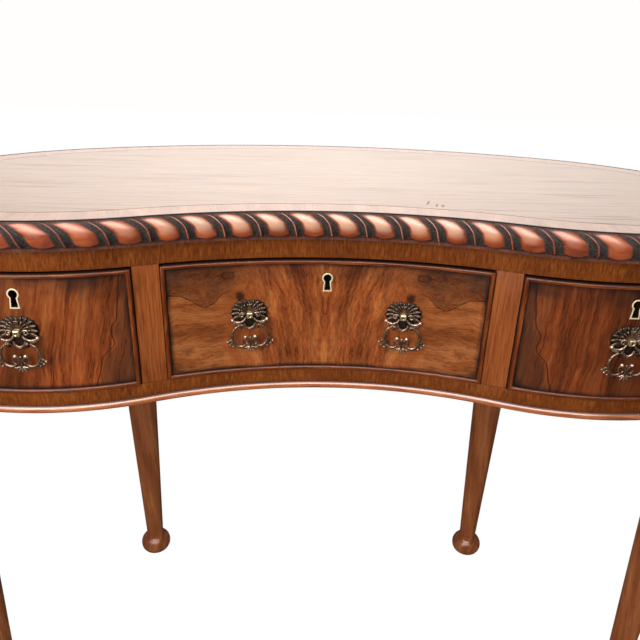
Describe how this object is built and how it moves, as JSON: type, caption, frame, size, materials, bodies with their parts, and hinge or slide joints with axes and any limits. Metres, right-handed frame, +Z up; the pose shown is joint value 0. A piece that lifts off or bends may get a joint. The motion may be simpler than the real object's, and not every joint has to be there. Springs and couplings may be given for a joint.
{
  "type": "kidney shaped desk",
  "caption": "Kidney shaped writing desk with a carved rope edge, a hollow front with three drawers, drop pulls and turned tapering legs.",
  "frame": {"origin": "on the floor under the middle of the desk", "axes": "+X to the right along the longest side, +Y from the front to the back, +Z up"},
  "size_m": [1.069, 0.5404, 0.762],
  "materials": {
    "top_veneer": "walnut veneer with crossbanding, satin polish",
    "carved_walnut": "carved walnut, red-brown polish with darkened grooves",
    "rail_veneer": "walnut cross-grained veneer, satin polish",
    "stile_veneer": "walnut with upright grain, satin polish",
    "panel_veneer": "walnut veneer, satin polish",
    "bead_walnut": "walnut beading, polished",
    "drawer_veneer": "figured walnut veneer, dark at the edges, polished",
    "leg_walnut": "turned walnut, satin polish",
    "inner_oak": "plain oak, unpolished",
    "drawer_oak": "plain oak drawer lining, waxed",
    "bronzed_brass": "cast brass, dark bronzed, worn bright on high spots",
    "polished_brass": "polished brass",
    "lock_steel": "plain steel lock case"
  },
  "bodies": {
    "carcass": {"top_board": "top_veneer", "rope_edge_front": "carved_walnut", "rope_edge_right": "carved_walnut", "rope_edge_left": "carved_walnut", "front_top_rail": "rail_veneer", "front_bottom_rail": "rail_veneer", "inner_stile_left": "stile_veneer", "inner_stile_right": "stile_veneer", "outer_stile_left": "stile_veneer", "outer_stile_right": "stile_veneer", "end_panel_left": "panel_veneer", "end_panel_right": "panel_veneer", "back_panel": "panel_veneer", "base_bead_front": "bead_walnut", "base_bead_right": "bead_walnut", "base_bead_back": "bead_walnut", "base_bead_left": "bead_walnut", "partition_left": "inner_oak", "partition_right": "inner_oak", "drawer_guide_left": "inner_oak", "drawer_guide_right": "inner_oak", "leg_front_left": "leg_walnut", "leg_front_right": "leg_walnut", "leg_back_left": "leg_walnut", "leg_back_right": "leg_walnut"},
    "centre_drawer": {"centre_drawer_front": "drawer_veneer", "centre_drawer_cock_bead": "bead_walnut", "centre_drawer_side_left": "drawer_oak", "centre_drawer_side_right": "drawer_oak", "centre_drawer_bottom": "drawer_oak", "centre_drawer_back": "drawer_oak", "centre_drawer_escutcheon": "polished_brass", "centre_drawer_lock_case": "lock_steel", "pull_centre_left_plate": "bronzed_brass", "pull_centre_right_plate": "bronzed_brass"},
    "left_drawer": {"left_drawer_front": "drawer_veneer", "left_drawer_cock_bead": "bead_walnut", "left_drawer_side_left": "drawer_oak", "left_drawer_side_right": "drawer_oak", "left_drawer_bottom": "drawer_oak", "left_drawer_back": "drawer_oak", "left_drawer_escutcheon": "polished_brass", "left_drawer_lock_case": "lock_steel", "pull_left_plate": "bronzed_brass"},
    "right_drawer": {"right_drawer_front": "drawer_veneer", "right_drawer_cock_bead": "bead_walnut", "right_drawer_side_left": "drawer_oak", "right_drawer_side_right": "drawer_oak", "right_drawer_bottom": "drawer_oak", "right_drawer_back": "drawer_oak", "right_drawer_escutcheon": "polished_brass", "right_drawer_lock_case": "lock_steel", "pull_right_plate": "bronzed_brass"},
    "centre_drawer_bolt": {"centre_drawer_lock_bolt": "polished_brass"},
    "left_drawer_bolt": {"left_drawer_lock_bolt": "polished_brass"},
    "right_drawer_bolt": {"right_drawer_lock_bolt": "polished_brass"},
    "pull_centre_left": {"pull_centre_left_drop": "bronzed_brass"},
    "pull_centre_right": {"pull_centre_right_drop": "bronzed_brass"},
    "pull_left": {"pull_left_drop": "bronzed_brass"},
    "pull_right": {"pull_right_drop": "bronzed_brass"}
  },
  "joints": [
    {"name": "centre_drawer_slide", "type": "slide", "parent": "carcass", "child": "centre_drawer", "axis": [0, -1, 0], "range_m": [0, 0.24]},
    {"name": "left_drawer_slide", "type": "slide", "parent": "carcass", "child": "left_drawer", "axis": [0, -1, 0], "range_m": [0, 0.18]},
    {"name": "right_drawer_slide", "type": "slide", "parent": "carcass", "child": "right_drawer", "axis": [0, -1, 0], "range_m": [0, 0.18]},
    {"name": "centre_drawer_bolt_rise", "type": "slide", "parent": "centre_drawer", "child": "centre_drawer_bolt", "axis": [0, 0, 1], "range_m": [0, 0.006]},
    {"name": "left_drawer_bolt_rise", "type": "slide", "parent": "left_drawer", "child": "left_drawer_bolt", "axis": [0, 0, 1], "range_m": [0, 0.006]},
    {"name": "right_drawer_bolt_rise", "type": "slide", "parent": "right_drawer", "child": "right_drawer_bolt", "axis": [0, 0, 1], "range_m": [0, 0.006]},
    {"name": "pull_left_swing", "type": "hinge", "parent": "left_drawer", "child": "pull_left", "pos_m": [-0.30859, -0.25326, 0.6349], "axis": [-0.9999, -0.0161, 0], "range_deg": [-6, 95]},
    {"name": "pull_centre_left_swing", "type": "hinge", "parent": "centre_drawer", "child": "pull_centre_left", "pos_m": [-0.08325, -0.1979, 0.6349], "axis": [-0.9856, -0.169, 0], "range_deg": [-6, 95]},
    {"name": "pull_centre_right_swing", "type": "hinge", "parent": "centre_drawer", "child": "pull_centre_right", "pos_m": [0.08325, -0.1979, 0.6349], "axis": [-0.9856, 0.169, 0], "range_deg": [-6, 95]},
    {"name": "pull_right_swing", "type": "hinge", "parent": "right_drawer", "child": "pull_right", "pos_m": [0.30859, -0.25326, 0.6349], "axis": [-0.9999, 0.0161, 0], "range_deg": [-6, 95]}
  ]
}
